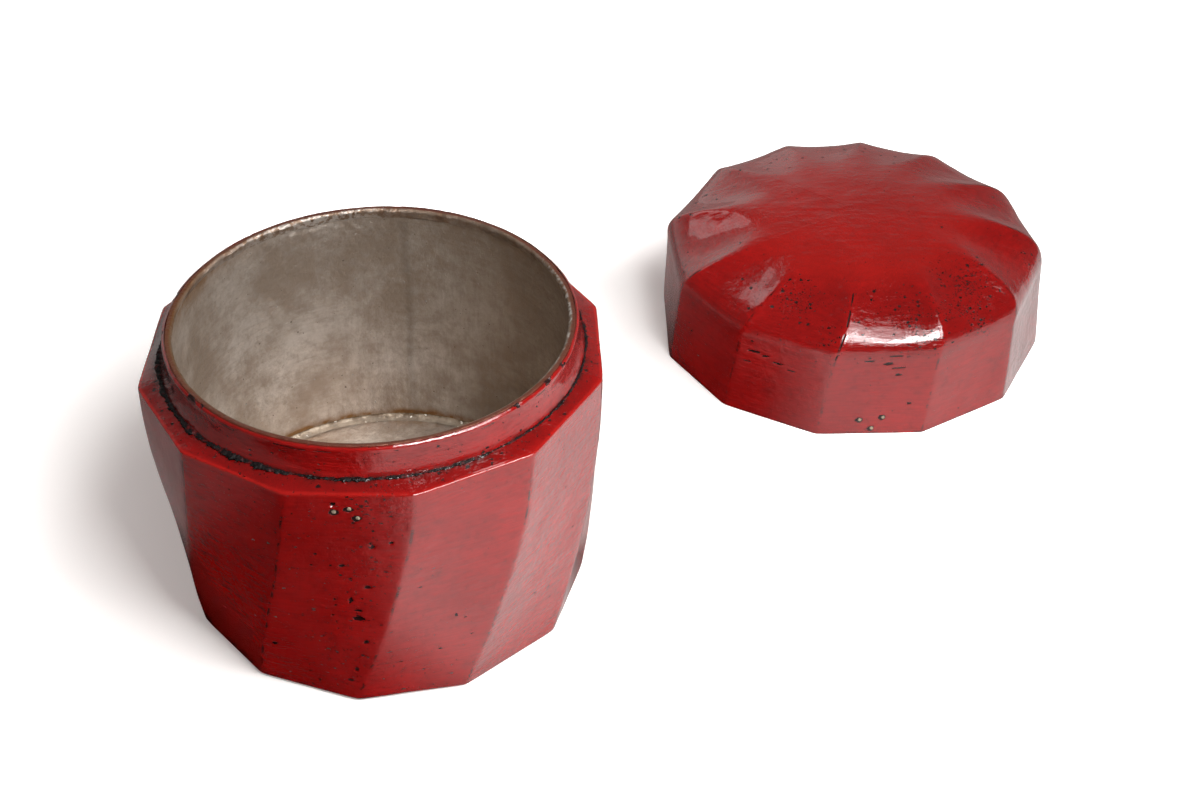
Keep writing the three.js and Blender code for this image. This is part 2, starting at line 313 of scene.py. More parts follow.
def new_object(name, data):
    made = bpy.data.objects.new(name, data)
    bpy.context.scene.collection.objects.link(made)
    return made


def mesh_object(name, points, faces, fields):
    """Object from points in millimetres, with a named number on each point for its material."""
    mesh = bpy.data.meshes.new(name)
    mesh.from_pydata((points * MM).tolist(), [], faces)
    for key, values in fields.items():
        attribute = mesh.attributes.new(key, "FLOAT", "POINT")
        attribute.data.foreach_set("value", np.asarray(values, np.float32))
    mesh.shade_smooth()
    mesh.set_sharp_from_angle(angle=math.radians(SHARP_ANGLE))
    return new_object(name, mesh)


def skin(name, rings, closed=False, **fields):
    """Object over rings of points, rows by columns.

    The rings run anticlockwise seen from above, up on the outside and down on the inside. They
    close on each other, or each end is closed at its middle.
    """
    rows, columns = rings.shape[:2]
    index = np.arange(rows * columns).reshape(rows, columns)
    if closed:
        index = np.vstack([index, index[:1]])
    beside = np.roll(index, -1, axis=1)
    quads = np.stack([index[:-1], beside[:-1], beside[1:], index[1:]], -1)
    faces = quads.reshape(-1, 4).tolist()
    points = rings.reshape(-1, 3)
    values = {key: np.broadcast_to(value, (rows, columns)).ravel() for key, value in fields.items()}
    if not closed:
        first = len(points)
        points = np.vstack([points, rings[0].mean(0), rings[-1].mean(0)])
        faces += [[first, b, a] for a, b in zip(index[0].tolist(), beside[0].tolist())]
        faces += [[first + 1, a, b] for a, b in zip(index[-1].tolist(), beside[-1].tolist())]
        values = {key: np.append(value, (value[0], value[-1])) for key, value in values.items()}
    return mesh_object(name, points, faces, values)


def padded(before, after, **fields):
    """Fields of the rows that show, with rows of nothing for the plain rings on either side."""
    values = np.broadcast_arrays(*fields.values())
    return {key: np.pad(value, ((before, after), (0, 0))) for key, value in zip(fields, values)}


def dress(piece, body, slot, material, *nodes):
    """Gives a piece its material and body, and hides the nodes that it stands for; the slot is not
    used.
    """
    piece.data.materials.append(material)
    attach(piece, body)
    if nodes:
        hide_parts(*nodes)


def turned(profile, columns=ROUND_COLUMNS):
    """Rings of a turned form, from [radius, height] points."""
    profile = np.asarray(profile, float)
    angle = np.linspace(0, 2 * np.pi, columns, endpoint=False)
    radius, z = profile[:, :1], profile[:, 1:]
    z = np.broadcast_to(z, (len(profile), columns))
    return np.stack([radius * np.cos(angle), radius * np.sin(angle), z], -1)


def pushed(rings, out=0, up=0):
    """Rings with their points moved away from the axis and upwards."""
    away = rings[..., :2] / np.maximum(axis_distance(rings), 1e-6)[..., None]
    moved = rings.copy()
    moved[..., :2] += away * np.broadcast_to(out, rings.shape[:2])[..., None]
    moved[..., 2] += up
    return moved


def path(*stretches):
    """One profile from stretches of [radius, height] points."""
    return np.vstack([np.asarray(stretch, float).reshape(-1, 2) for stretch in stretches])


def line(start, end, count):
    """Points from start towards end, without the end."""
    share = np.linspace(0, 1, count, endpoint=False)[:, None]
    return np.asarray(start) + share * (np.asarray(end) - np.asarray(start))


def sheet_profile(foot, top, rows):
    """Profile of a wall of sheet, up its outside and down its inside."""
    return path((foot[0] + SHEET, foot[1]), (top[0] + SHEET, top[1]), line(top, foot, rows), foot)


def dome_profile(radius, spring, top, rows):
    """Profile of a square-shouldered dome, from its springing to just before its middle."""
    turn = np.linspace(0, np.pi / 2, rows, endpoint=False)
    height = (top - spring) * np.sin(turn) ** (2 / DOME_POWER)
    return np.stack([radius * np.cos(turn), spring + height], -1)


def lining_radius(z):
    """Inside of the tapered lining wall at a height."""
    return MOUTH_RADIUS - LINING_TAPER * (RIM_TOP - z) / (RIM_TOP - FLOOR_TOP)


def bore_radius(z):
    return lining_radius(z) + SHEET + SEAT_GAP


def rotated(x, y, z, angle):
    """Points turned round the upright axis by degrees."""
    cos = math.cos(math.radians(angle))
    sin = math.sin(math.radians(angle))
    return np.stack([x * cos - y * sin, x * sin + y * cos, z], -1)


def on_lid(points):
    """Points worked out round the lid's own axis, in the lid's place."""
    x, y, z = np.moveaxis(points, -1, 0)
    return rotated(x, y, z, LID_TURN) + (*LID_CENTRE, 0)


# Carving

def facet_columns():
    """Columns of points round the carving, closer at the ridges and in the marked facet."""
    ridges = FIRST_RIDGE + np.arange(FACETS + 1) * 360 / FACETS + np.resize(RIDGE_STRAY, FACETS + 1)
    parts = []
    for facet in range(FACETS):
        steps = MARKED_STEPS if facet == MARKED_FACET else FACET_STEPS
        even = np.arange(steps) / steps
        share = even - RIDGE_CROWDING * np.sin(2 * np.pi * even) / (2 * np.pi)
        half = (ridges[facet + 1] - ridges[facet]) / 2
        angle = ridges[facet] + 2 * half * share
        same = np.ones(steps)
        parts.append([angle, 2 * share - 1, math.radians(half) * same, facet * same])
    angle, across, half, facet = np.hstack(parts)
    return SimpleNamespace(angle=angle, across=across, half=half, facet=facet)


COLUMNS = facet_columns()


def carved(form, relief=0):
    """Points of the carving in a turned form, rows by columns.

    The form's rows give its radius, height, twist, outward normal, radius of the cut and how far
    the cut has faded. Relief is added along the normal.
    """
    openness = 1 - form.fade**2 - COLUMNS.across**2
    openness = (openness + np.hypot(openness, PETAL_SOFTNESS * form.fade)) / 2
    cut = form.cut_radius * (1 - np.cos(COLUMNS.half)) * openness
    cut = np.hypot(cut, RIDGE_SOFTNESS) - relief
    angle = np.radians(COLUMNS.angle + form.twist)
    z = form.z + 0 * angle
    plain = np.stack([form.radius * np.cos(angle), form.radius * np.sin(angle), z], -1)
    angle = angle + RIDGE_WANDER * layered(plain, RIDGE_WANDERS) / BODY_RADIUS
    radius = form.radius - cut * form.out
    return np.stack([radius * np.cos(angle), radius * np.sin(angle), form.z - cut * form.up], -1)


def ridge_distance(form):
    """Distance of each point from its nearer ridge, along the surface."""
    return (1 - np.abs(COLUMNS.across)) * COLUMNS.half * form.cut_radius


def across_facet(form):
    """Distance of each point from the middle of its facet, positive anticlockwise."""
    return COLUMNS.across * np.sin(COLUMNS.half) * form.cut_radius


def bareness(across, z, chips, ragged, facet=MARKED_FACET):
    """How far each point of a facet is chipped, from 0 to 1."""
    bare = np.zeros(np.broadcast(across, z).shape)
    for middle, height, half_width, half_height in chips:
        reach = np.hypot((across - middle) / half_width, (z - height) / half_height)
        bare = np.maximum(bare, smooth_step(reach + CHIP_RAGGEDNESS * ragged, 1.15, 0.75))
    return bare * (COLUMNS.facet == facet)


def peg_stains(pegs):
    """Dark spots round the peg heads, as chips."""
    reach = 1.6 * PEG_RADIUS
    return [(across - 0.4, z - 0.2, 1.2 * reach, reach) for across, z in pegs]


def body_form():
    """Turned form of the body from foot to shoulder edge."""
    turn = np.linspace(0, np.pi / 2, EDGE_ROWS + 1)[1:]
    z = np.linspace(FOOT_CHAMFER, BODY_HEIGHT - EDGE_ROUND, BODY_ROWS)
    z = np.concatenate([[0], z, BODY_HEIGHT - EDGE_ROUND * (1 - np.sin(turn))])[:, None]
    inset = np.zeros_like(z)
    inset[0] = FOOT_CHAMFER
    inset[-EDGE_ROWS:, 0] = EDGE_ROUND * (1 - np.cos(turn))
    below = 1 - z / BODY_HEIGHT
    radius = BODY_RADIUS - FOOT_INSET * below**2 - inset
    twist = -BODY_TWIST * below**BODY_TWIST_POWER
    rows = dict(radius=radius, z=z, twist=twist, cut_radius=radius, fade=0 * z)
    return SimpleNamespace(out=1, up=0, **rows)


def lid_form():
    """Turned form of the outside of the lid, from its edge to just before its middle."""
    wall_z = np.linspace(0, LID_WALL_HEIGHT, LID_WALL_ROWS, endpoint=False)
    wall_share = wall_z / LID_WALL_HEIGHT
    wall_radius = LID_RADIUS - LID_TAPER * wall_share
    top_radius = LID_RADIUS - LID_TAPER
    fine = np.linspace(0, 1, DOME_SAMPLES)
    fine_radius = top_radius * np.cos(fine * np.pi / 2)
    fine_rise = (LID_HEIGHT - LID_WALL_HEIGHT) * np.sin(fine * np.pi / 2) ** (2 / DOME_POWER)
    fine_z = LID_WALL_HEIGHT + fine_rise
    lengths = np.hypot(np.diff(fine_radius), np.diff(fine_z))
    length = np.append(0, np.cumsum(lengths))
    share = np.interp(np.linspace(0, length[-1], DOME_ROWS, endpoint=False), length, fine)
    dome_radius = np.interp(share, fine, fine_radius)
    dome_z = np.interp(share, fine, fine_z)
    dome_twist = LID_WALL_TWIST + LID_DOME_TWIST * share**DOME_TWIST_POWER
    normal = np.stack([np.gradient(dome_z), -np.gradient(dome_radius)])
    normal /= np.linalg.norm(normal, axis=0)
    radius = np.concatenate([wall_radius, dome_radius])
    rows = dict(
        radius=radius,
        z=np.concatenate([wall_z, dome_z]),
        twist=np.concatenate([LID_WALL_TWIST * wall_share, dome_twist]),
        out=np.concatenate([np.ones(LID_WALL_ROWS), normal[0]]),
        up=np.concatenate([np.zeros(LID_WALL_ROWS), normal[1]]),
        cut_radius=np.concatenate([wall_radius, np.full(DOME_ROWS, top_radius)]),
        fade=np.clip((FLUTE_END_RADIUS + FLUTE_FADE - radius) / FLUTE_FADE, 0, None),
    )
    return SimpleNamespace(**{name: values[:, None] for name, values in rows.items()})


def round_rings(profile):
    """Rings of a turned form whose points lie in line with the carving's."""
    angle = np.radians(COLUMNS.angle)
    rings = [(r * np.cos(angle), r * np.sin(angle), np.full_like(angle, z)) for r, z in profile]
    return np.moveaxis(np.array(rings), 1, -1)


# Helpers for materials

def set_inputs(made, inputs):
    """Sets inputs of a node, by name or number, to values or to links from other sockets."""
    for name, value in inputs.items():
        if isinstance(value, bpy.types.NodeSocket):
            made.id_data.links.new(value, made.inputs[name])
        else:
            made.inputs[name].default_value = value


def new_material(name, shader_inputs):
    """Material whose shader has the inputs that a function makes in its node tree."""
    material = bpy.data.materials.new(name)
    material.use_nodes = True
    tree = material.node_tree
    set_inputs(tree.nodes["Principled BSDF"], shader_inputs(tree))
    return material


def add_node(tree, kind, inputs=None, **settings):
    """Shader node of a kind, such as Math or TexNoise."""
    made = tree.nodes.new("ShaderNode" + kind)
    for name, value in settings.items():
        setattr(made, name, value)
    set_inputs(made, inputs or {})
    return made


def maths(tree, *values, operation):
    """Values put together by an operation, from the first to the last."""

    def step(a, b):
        return add_node(tree, "Math", {0: a, 1: b}, operation=operation).outputs[0]

    return reduce(step, values)


plus = partial(maths, operation="ADD")
minus = partial(maths, operation="SUBTRACT")
times = partial(maths, operation="MULTIPLY")
most = partial(maths, operation="MAXIMUM")


def vector_maths(tree, operation, inputs, output):
    return add_node(tree, "VectorMath", inputs, operation=operation).outputs[output]


def between(tree, value, low, high, start=0, end=1):
    """Smooth change from start to end as value goes from low to high."""
    inputs = {"Value": value, "From Min": low, "From Max": high, "To Min": start, "To Max": end}
    made = add_node(tree, "MapRange", inputs, interpolation_type="SMOOTHSTEP")
    return made.outputs["Result"]


def field(tree, name):
    """Number that the mesh has on its points."""
    return add_node(tree, "Attribute", attribute_name=name).outputs["Fac"]


def place(tree, stretch=(1, 1, 1), turn=(0, 0, 0)):
    """Coordinates on the piece in metres, turned by degrees and stretched."""
    own = add_node(tree, "TexCoord").outputs["Object"]
    turned_by = [math.radians(angle) for angle in turn]
    inputs = {"Vector": own, "Scale": stretch, "Rotation": turned_by}
    return add_node(tree, "Mapping", inputs).outputs["Vector"]


def place_along(tree, spot, axis):
    """One coordinate of a place."""
    return add_node(tree, "SeparateXYZ", {0: spot}).outputs[axis]


def cloud(tree, scale, detail=3, roughness=0.55, stretch=(1, 1, 1), turn=(0, 0, 0)):
    """Noise with about scale swells in a metre."""
    spot = place(tree, stretch, turn)
    inputs = {"Vector": spot, "Scale": scale, "Detail": detail, "Roughness": roughness}
    return add_node(tree, "TexNoise", inputs).outputs["Fac"]


def specks(tree, scale, share, size, stretch=(1, 1, 1)):
    """Small ragged specks: share of the cells that hold one, and its size as a part of the cell."""
    inputs = {"Vector": place(tree), "Scale": scale * 1.7, "Detail": 2}
    wander = add_node(tree, "TexNoise", inputs).outputs["Color"]
    moved = vector_maths(tree, "SCALE", {0: wander, "Scale": 0.9 / scale}, "Vector")
    spot = vector_maths(tree, "ADD", {0: place(tree, stretch), 1: moved}, "Vector")
    cells = add_node(tree, "TexVoronoi", {"Vector": spot, "Scale": scale}).outputs
    chance = add_node(tree, "SeparateColor", {"Color": cells["Color"]}).outputs
    reach = times(tree, chance["Green"], size)
    inside = between(tree, minus(tree, cells["Distance"], reach), 0, -0.09)
    chosen = maths(tree, chance["Red"], share, operation="LESS_THAN")
    return times(tree, inside, chosen)


def blend(tree, share, first, second):
    """Colour that goes from the first to the second."""
    inputs = {0: share, 6: first, 7: second}
    return add_node(tree, "Mix", inputs, data_type="RGBA").outputs[2]


def glazed(tree, tone, *glazes):
    """Colour with others laid over it in turn, each as [share, colour]."""
    for share, glaze in glazes:
        tone = blend(tree, share, tone, glaze)
    return tone


def bumped(tree, *layers, normal=None):
    """Normal with layers of relief in it, each as [height, distance, strength]."""
    for height, distance, strength in layers:
        inputs = {"Height": height, "Distance": distance, "Strength": strength}
        if normal:
            inputs["Normal"] = normal
        normal = add_node(tree, "Bump", inputs).outputs["Normal"]
    return normal


# Materials

LACQUER_DEEP = (0.27, 0.0037, 0.0033, 1)
LACQUER_BRIGHT = (0.37, 0.0055, 0.0048, 1)
LACQUER_STROKE = (0.18, 0.0026, 0.0024, 1)
LACQUER_MOTTLE = (0.15, 0.0022, 0.002, 1)
# Painted shade
LACQUER_SHADE = (0.13, 0.0022, 0.002, 1)
# Painted light and highlights
LACQUER_LIT = (0.42, 0.012, 0.008, 1)
LACQUER_WORN = (0.035, 0.006, 0.005, 1)
LACQUER_LIP = (0.065, 0.012, 0.007, 1)
LACQUER_GROUND = (0.005, 0.003, 0.003, 1)
CRUST_BLACK = (0.004, 0.002, 0.002, 1)
CRUST_RED = (0.09, 0.003, 0.003, 1)
TIN_DARK = (0.36, 0.285, 0.225, 1)
TIN_LIGHT = (0.63, 0.565, 0.505, 1)
TIN_MOTTLE = (0.33, 0.26, 0.205, 1)
TIN_SCOURED = (0.28, 0.217, 0.165, 1)
TIN_DOT = (0.06, 0.045, 0.035, 1)
# Painted glints
TIN_PAINTED_GLINT = (0.85, 0.82, 0.76, 1)
# Patina and painted shade
TIN_PATINA_AND_SHADE = (0.3, 0.23, 0.172, 1)
TIN_STAIN = (0.25, 0.125, 0.048, 1)
TIN_SEAM = (0.16, 0.13, 0.1, 1)
SOLDER_BROWN = (0.13, 0.085, 0.05, 1)
SOLDER_TAN = (0.38, 0.3, 0.22, 1)
SOLDER_PALE = (0.4, 0.34, 0.275, 1)
# Painted glints
SOLDER_PAINTED_GLINT = (0.85, 0.8, 0.72, 1)
RIM_GRIME = (0.17, 0.1, 0.06, 1)
RIM_OCHRE = (0.19, 0.082, 0.026, 1)
RIM_BROWN = (0.17, 0.042, 0.023, 1)
# Frost, and painted glints
RIM_FROST_AND_GLINT = (0.78, 0.74, 0.69, 1)
PEG_METAL = (0.52, 0.43, 0.31, 1)
PEG_GRIME = (0.06, 0.03, 0.025, 1)


def lacquer(tree):
    strokes = cloud(tree, 1, 3, 0.6, stretch=(90, 90, 1300), turn=(8, 5, 0))
    cross = cloud(tree, 1, 2, 0.6, stretch=(160, 160, 900), turn=(48, -30, 0))
    brushed = plus(tree, times(tree, strokes, 0.6), times(tree, cross, 0.4))
    density = plus(tree, times(tree, field(tree, "flecks"), 0.28), 0.003)
    flecks = specks(tree, 850, density, 0.62, stretch=(0.7, 0.7, 1.3))
    dust = specks(tree, 1500, density, 0.7)
    ragged = times(tree, cloud(tree, 1500, 2), 0.5)
    bare = between(tree, plus(tree, field(tree, "bare"), ragged), 0.6, 0.85)
    marks = most(tree, flecks, times(tree, dust, 0.7), bare)
    broken = between(tree, cloud(tree, 150, 3, 0.7), 0.47, 0.6)
    ridge = times(tree, between(tree, field(tree, "ridge"), 0.55, 0.95), broken)
    foot = times(tree, field(tree, "foot"), between(tree, cloud(tree, 210, 3), 0.35, 0.6))
    finish = glazed(
        tree,
        LACQUER_DEEP,
        (between(tree, cloud(tree, 26, 4), 0.3, 0.7), LACQUER_BRIGHT),
        (between(tree, brushed, 0.35, 0.68, 0, 0.5), LACQUER_STROKE),
        (between(tree, cloud(tree, 230, 4, 0.7), 0.5, 0.74, 0, 0.45), LACQUER_MOTTLE),
        # painted shade on the shaded sides of the shoulder, neck and lid flutes
        (times(tree, field(tree, "dulled"), 0.6), LACQUER_SHADE),
        # painted light on the shoulder's edge, the neck's lip and the lid's top and back
        (times(tree, field(tree, "edge"), 0.75), LACQUER_LIT),
        (most(tree, times(tree, ridge, 0.7), times(tree, foot, 0.75)), LACQUER_WORN),
        (times(tree, field(tree, "lip"), 0.85), LACQUER_LIP),
        (times(tree, marks, 0.95), LACQUER_GROUND),
    )
    gloss = between(tree, cloud(tree, 55, 4), 0.3, 0.75, 0.09, 0.18)
    daubs = cloud(tree, 1, 3, 0.55, stretch=(70, 260, 260), turn=(0, 0, 30))
    crumpled = between(tree, cloud(tree, 45, 2), 0.4, 0.62, 0.1, 0.5)
    normal = bumped(
        tree,
        (cloud(tree, 130, 3), 0.0008, 0.45),
        (daubs, 0.0009, 0.4),
        (times(tree, cloud(tree, 420, 3, 0.6), crumpled), 0.0014, 0.55),
        (brushed, 0.0006, 0.5),
        (marks, -0.00025, 0.8),
    )
    return {
        "Base Color": finish,
        "Roughness": plus(tree, gloss, times(tree, marks, 0.15)),
        "Normal": normal,
        "Coat Weight": minus(tree, 0.9, times(tree, marks, 0.85)),
        "Coat Roughness": 0.08,
    }


def crust(tree):
    red = between(tree, cloud(tree, 240, 3), 0.52, 0.68)
    wet = between(tree, field(tree, "wet"), 0, 0.6)
    glossy = times(tree, wet, between(tree, cloud(tree, 620, 2), 0.5, 0.6))
    return {
        "Base Color": blend(tree, red, CRUST_BLACK, CRUST_RED),
        "Roughness": between(tree, glossy, 0, 1, 0.6, 0.12),
        "Normal": bumped(tree, (cloud(tree, 900, 2), 0.0009, 0.9)),
        "Specular IOR Level": 0.3,
        "Coat Weight": glossy,
        "Coat Roughness": 0.07,
    }


def brushed_tin(tree):
    """Colour, roughness and normal of tin that was scoured this way and that, with painted glints
    in its colour.
    """
    upright = cloud(tree, 1, 4, 0.65, stretch=(520, 520, 55), turn=(7, -5, 0))
    level = cloud(tree, 1, 4, 0.65, stretch=(60, 60, 560), turn=(14, 8, 0))
    slanted = cloud(tree, 1, 4, 0.65, stretch=(90, 420, 420), turn=(38, 24, 0))
    scoured = glazed(
        tree,
        level,
        (between(tree, cloud(tree, 26, 2), 0.42, 0.58), slanted),
        (between(tree, cloud(tree, 19, 2), 0.48, 0.64), upright),
    )
    dots = specks(tree, 900, 0.03, 0.4)
    clustered = between(tree, cloud(tree, 28, 2), 0.55, 0.68, 0.006, 0.09)
    # painted glints: pale specks standing for glints on the tin
    painted_glints = specks(tree, 700, clustered, 0.42)
    tone = glazed(
        tree,
        TIN_DARK,
        (between(tree, cloud(tree, 34, 6, 0.68), 0.34, 0.66), TIN_LIGHT),
        (between(tree, cloud(tree, 190, 5, 0.72), 0.42, 0.66, 0, 0.5), TIN_MOTTLE),
        (between(tree, scoured, 0.44, 0.68, 0, 0.28), TIN_SCOURED),
        (times(tree, dots, 0.75), TIN_DOT),
        (painted_glints, TIN_PAINTED_GLINT),
    )
    rough = minus(tree, between(tree, scoured, 0.3, 0.7, 0.3, 0.5), times(tree, painted_glints, 0.2))
    normal = bumped(
        tree,
        (cloud(tree, 90, 4), 0.0014, 0.45),
        (cloud(tree, 230, 5, 0.65), 0.0018, 0.55),
        (scoured, 0.0003, 0.5),
        (minus(tree, painted_glints, dots), 0.0004, 0.8),
    )
    return tone, rough, normal


def tin(tree):
    tone, rough, normal = brushed_tin(tree)
    patches = between(tree, cloud(tree, 120, 4), 0.35, 0.65, 0.35, 1)
    tone = glazed(
        tree,
        tone,
        # patina and painted shade
        (times(tree, field(tree, "dull"), 0.62), TIN_PATINA_AND_SHADE),
        (times(tree, field(tree, "stain"), patches, 0.9), TIN_STAIN),
        (times(tree, field(tree, "seam"), 0.35), TIN_SEAM),
    )
    return {"Base Color": tone, "Roughness": rough, "Normal": normal, "Metallic": 0.6}


def stained(tree):
    tone = glazed(
        tree,
        SOLDER_BROWN,
        (between(tree, cloud(tree, 170, 4), 0.36, 0.62), SOLDER_TAN),
        (times(tree, field(tree, "low"), 0.55), SOLDER_PALE),
        # painted glints in the solder
        (specks(tree, 620, 0.16, 0.5), SOLDER_PAINTED_GLINT),
    )
    return {
        "Base Color": tone,
        "Roughness": between(tree, cloud(tree, 400, 3), 0.3, 0.7, 0.3, 0.6),
        "Normal": bumped(tree, (cloud(tree, 900, 3), 0.0005, 0.7)),
        "Metallic": 0.35,
    }


def rim(tree):
    tone, _, normal = brushed_tin(tree)
    inward = field(tree, "inward")
    ochre = field(tree, "ochre")
    mottled = cloud(tree, 110, 4, 0.65)
    spread = between(tree, plus(tree, inward, times(tree, mottled, 3)), 6.8, 2.6)
    brown_line = between(tree, plus(tree, inward, times(tree, mottled, 0.7)), 2.5, 1.5, 0, 0.9)
    brownness = minus(tree, 1.35, times(tree, ochre, 0.7))
    # pale spots: frost on the rim's right side, painted glints at its back
    frost = between(tree, cloud(tree, 420, 3, 0.6), 0.44, 0.56)
    inside = between(tree, inward, 1.2, 2.2)
    tone = glazed(
        tree,
        tone,
        (between(tree, cloud(tree, 85, 4), 0.42, 0.66, 0.35, 0.85), RIM_GRIME),
        (times(tree, spread, ochre), RIM_OCHRE),
        (times(tree, brown_line, brownness), RIM_BROWN),
        (times(tree, frost, field(tree, "frosty"), inside, 0.8), RIM_FROST_AND_GLINT),
    )
    return {
        "Base Color": tone,
        "Roughness": between(tree, cloud(tree, 300, 3), 0.3, 0.7, 0.32, 0.58),
        "Normal": bumped(tree, (cloud(tree, 500, 3), 0.0006, 0.6), normal=normal),
        "Metallic": 0.6,
    }


def peg(tree):
    grimy = plus(tree, field(tree, "worn"), times(tree, cloud(tree, 1400, 2), 0.5))
    return {
        "Base Color": blend(tree, between(tree, grimy, 0.85, 1.25), PEG_METAL, PEG_GRIME),
        "Roughness": between(tree, cloud(tree, 900, 2), 0.3, 0.7, 0.35, 0.6),
        "Normal": bumped(tree, (cloud(tree, 2500, 2), 0.0003, 0.6)),
        "Metallic": 0.5,
    }


LACQUER = new_material("red_lacquer", lacquer)
CRUST = new_material("gathered_lacquer", crust)
TIN = new_material("scoured_tin", tin)
STAINED = new_material("stained_solder", stained)
RIM = new_material("stained_rim", rim)
PEG = new_material("peg_metal", peg)


# Pieces of the body

def carved_body():
    form = body_form()
    plain = carved(form)
    ragged = bumps(plain, CHIP_GRAIN, 4)
    across = across_facet(form)
    bare = bareness(across, form.z, BODY_CHIPS, ragged)
    hole = bareness(across, form.z, [(*EMPTY_HOLE, PEG_RADIUS, PEG_RADIUS)], 0)
    dark = bareness(across, form.z, peg_stains(BODY_PEGS), ragged)
    relief = layered(plain, KNIFE_MARKS) - BODY_CHIP_DEPTH * bare - HOLE_DEPTH * hole
    outside = carved(form, relief)
    edge = outside[-1]
    seat_radius = NECK_FOOT_RADIUS + SEAT_GAP
    seat = round_rings([(seat_radius, SHOULDER_TOP)])[0]
    share = np.linspace(0, 1, SHOULDER_ROWS + 1)[1:, None, None]
    shoulder = edge + share * (seat - edge)
    shoulder[:-1, :, 2] += layered(shoulder[:-1], SHOULDER_WAVES)
    neck_seat = SHOULDER_TOP - NECK_SEAT
    inside = round_rings(
        [
            (seat_radius, neck_seat),
            (bore_radius(neck_seat), neck_seat),
            (bore_radius(BASE_THICKNESS), BASE_THICKNESS),
        ]
    )
    patches = smooth_step(bumps(plain, 38, 6), 0.05, 0.4)
    flecked = near(across - FLECKS_ACROSS, FLECKS_REACH)
    fields = padded(
        0,
        len(shoulder) + len(inside),
        bare=np.maximum.reduce([bare, hole, dark]),
        ridge=near(ridge_distance(form), RIDGE_WEAR),
        # painted highlight along the shoulder's outer edge
        edge=0.6 * near(BODY_HEIGHT - form.z, EDGE_HIGHLIGHT),
        foot=near(form.z, FOOT_WEAR),
        dulled=0.0,
        flecks=0.12 * patches + 0.6 * flecked * (COLUMNS.facet == MARKED_FACET),
    )
    first = len(outside)
    on_shoulder = slice(first, first + SHOULDER_ROWS)
    from_seat = axis_distance(shoulder) - NECK_FOOT_RADIUS - SEAT_GAP
    grime = near(from_seat, GRIME_REACH) * smooth_step(bumps(shoulder, 7, 39), -0.5, 0.3)
    # painted shade: the shoulder darker near the neck and on its left side, where the neck shades
    # it
    dulled = np.maximum(smooth_step(from_seat, 9, 3), 1.4 * facing(shoulder, SHOULDER_SHADED_SIDE, 85))
    # painted highlight on the shoulder's outer row
    fields["edge"][first] = 0.35
    fields["foot"][on_shoulder] = grime
    fields["dulled"][on_shoulder] = dulled
    fields["flecks"][on_shoulder] = 0.35 * dulled
    piece = skin("carved_body", np.concatenate([outside, shoulder, inside]), **fields)
    dress(piece, "box_body", "lacquer", LACQUER, "body_shell")


def turned_neck():
    top = RIM_TOP - RIM_GAP
    rise = np.linspace(0, 1, NECK_ROWS)
    flare = (NECK_FOOT_RADIUS - NECK_TOP_RADIUS) * (1 - rise) ** 3
    height = top - LIP_DROP - SHOULDER_TOP
    outside = np.stack([NECK_TOP_RADIUS + flare, SHOULDER_TOP + rise * height], -1)
    over = np.linspace(0, 1, LIP_ROWS + 1)[1:]
    lip_radius = NECK_TOP_RADIUS - RIM_LAP * over**LIP_POWER
    lip_edge = np.stack([lip_radius, top - LIP_DROP * (1 - over) ** LIP_POWER], -1)
    foot = SHOULDER_TOP - NECK_SEAT + SEAT_GAP
    profile = path(
        (bore_radius(foot), foot),
        (NECK_FOOT_RADIUS, foot),
        outside,
        lip_edge,
        (NECK_TOP_RADIUS - RIM_LAP, NECK_TOP),
        (bore_radius(NECK_TOP), NECK_TOP),
    )
    rings = turned(profile)
    shown = slice(2, 2 + len(outside) + len(lip_edge))
    plain = rings[shown]
    chipped = smooth_step(bumps(plain * (1, 1, 0.3), 5, 9), 0.25, 0.5)
    chipped = chipped * smooth_step(plain[..., 2], top - 2.4, top - 0.8)
    lifted = RIM_LIFT * facing(plain, RIM_HIGH_SIDE, 80)
    lifted = lifted * smooth_step(plain[..., 2], SHOULDER_TOP, top)
    out = layered(plain, NECK_WAVES) - NECK_CHIP_DEPTH * chipped
    visible = pushed(plain, out, lifted)
    rings[shown] = visible
    z = visible[..., 2]
    crack_height = top - CRACK_DROP + 0.4 * bumps(visible * IN_PLAN, 9, 10)
    broken = smooth_step(bumps(visible * IN_PLAN, 7, 11), -0.05, 0.2)
    crack = near(z - crack_height, CRACK_WIDTH) * broken
    fields = padded(
        shown.start,
        len(profile) - shown.stop,
        bare=np.maximum(crack, 0.7 * chipped),
        foot=near(z - SHOULDER_TOP, NECK_FOOT_WEAR),
        lip=smooth_step(z + 0.15 * bumps(visible, 4, 42), top - 0.3, top - 0.05),
        # painted highlight along the top of the lip
        edge=0.35 * smooth_step(z, top - 0.9, top - 0.3),
        # painted shade on the neck's left side
        dulled=0.8 * facing(visible, NECK_SHADED_SIDE, 80),
        flecks=0.1,
    )
    piece = skin("turned_neck", rings, closed=True, **fields)
    dress(piece, "box_body", "lacquer", LACQUER, "neck_ring")


def neck_crust():
    """Ragged bead of dark lacquer that has gathered in the corner of shoulder and neck."""
    turn = np.linspace(0, 2 * np.pi, CRUST_POINTS, endpoint=False)
    half_width, half_height = CRUST_SIZE
    sideways = half_width * np.cos(turn)
    upwards = half_height * np.sin(turn)
    middle_radius = NECK_FOOT_RADIUS + CRUST_PLACE[0]
    middle_z = SHOULDER_TOP + CRUST_PLACE[1]
    section = np.stack([middle_radius + sideways, middle_z + upwards], -1)
    rings = turned(section, 3 * ROUND_COLUMNS)
    wide = 0.4 + 0.2 * bumps(rings * IN_PLAN, 40, 12) + 0.7 * facing(rings, CRUST_WIDE_SIDE, 80)
    swell = wide * np.maximum(1 + layered(rings, CRUST_LUMPS), 0.2) - 1
    lumpy = pushed(rings, sideways[:, None] * swell, upwards[:, None] * swell)
    piece = skin("neck_crust", lumpy, closed=True, wet=facing(rings, CRUST_WET_SIDE, 70))
    dress(piece, "box_body", "lacquer", CRUST)


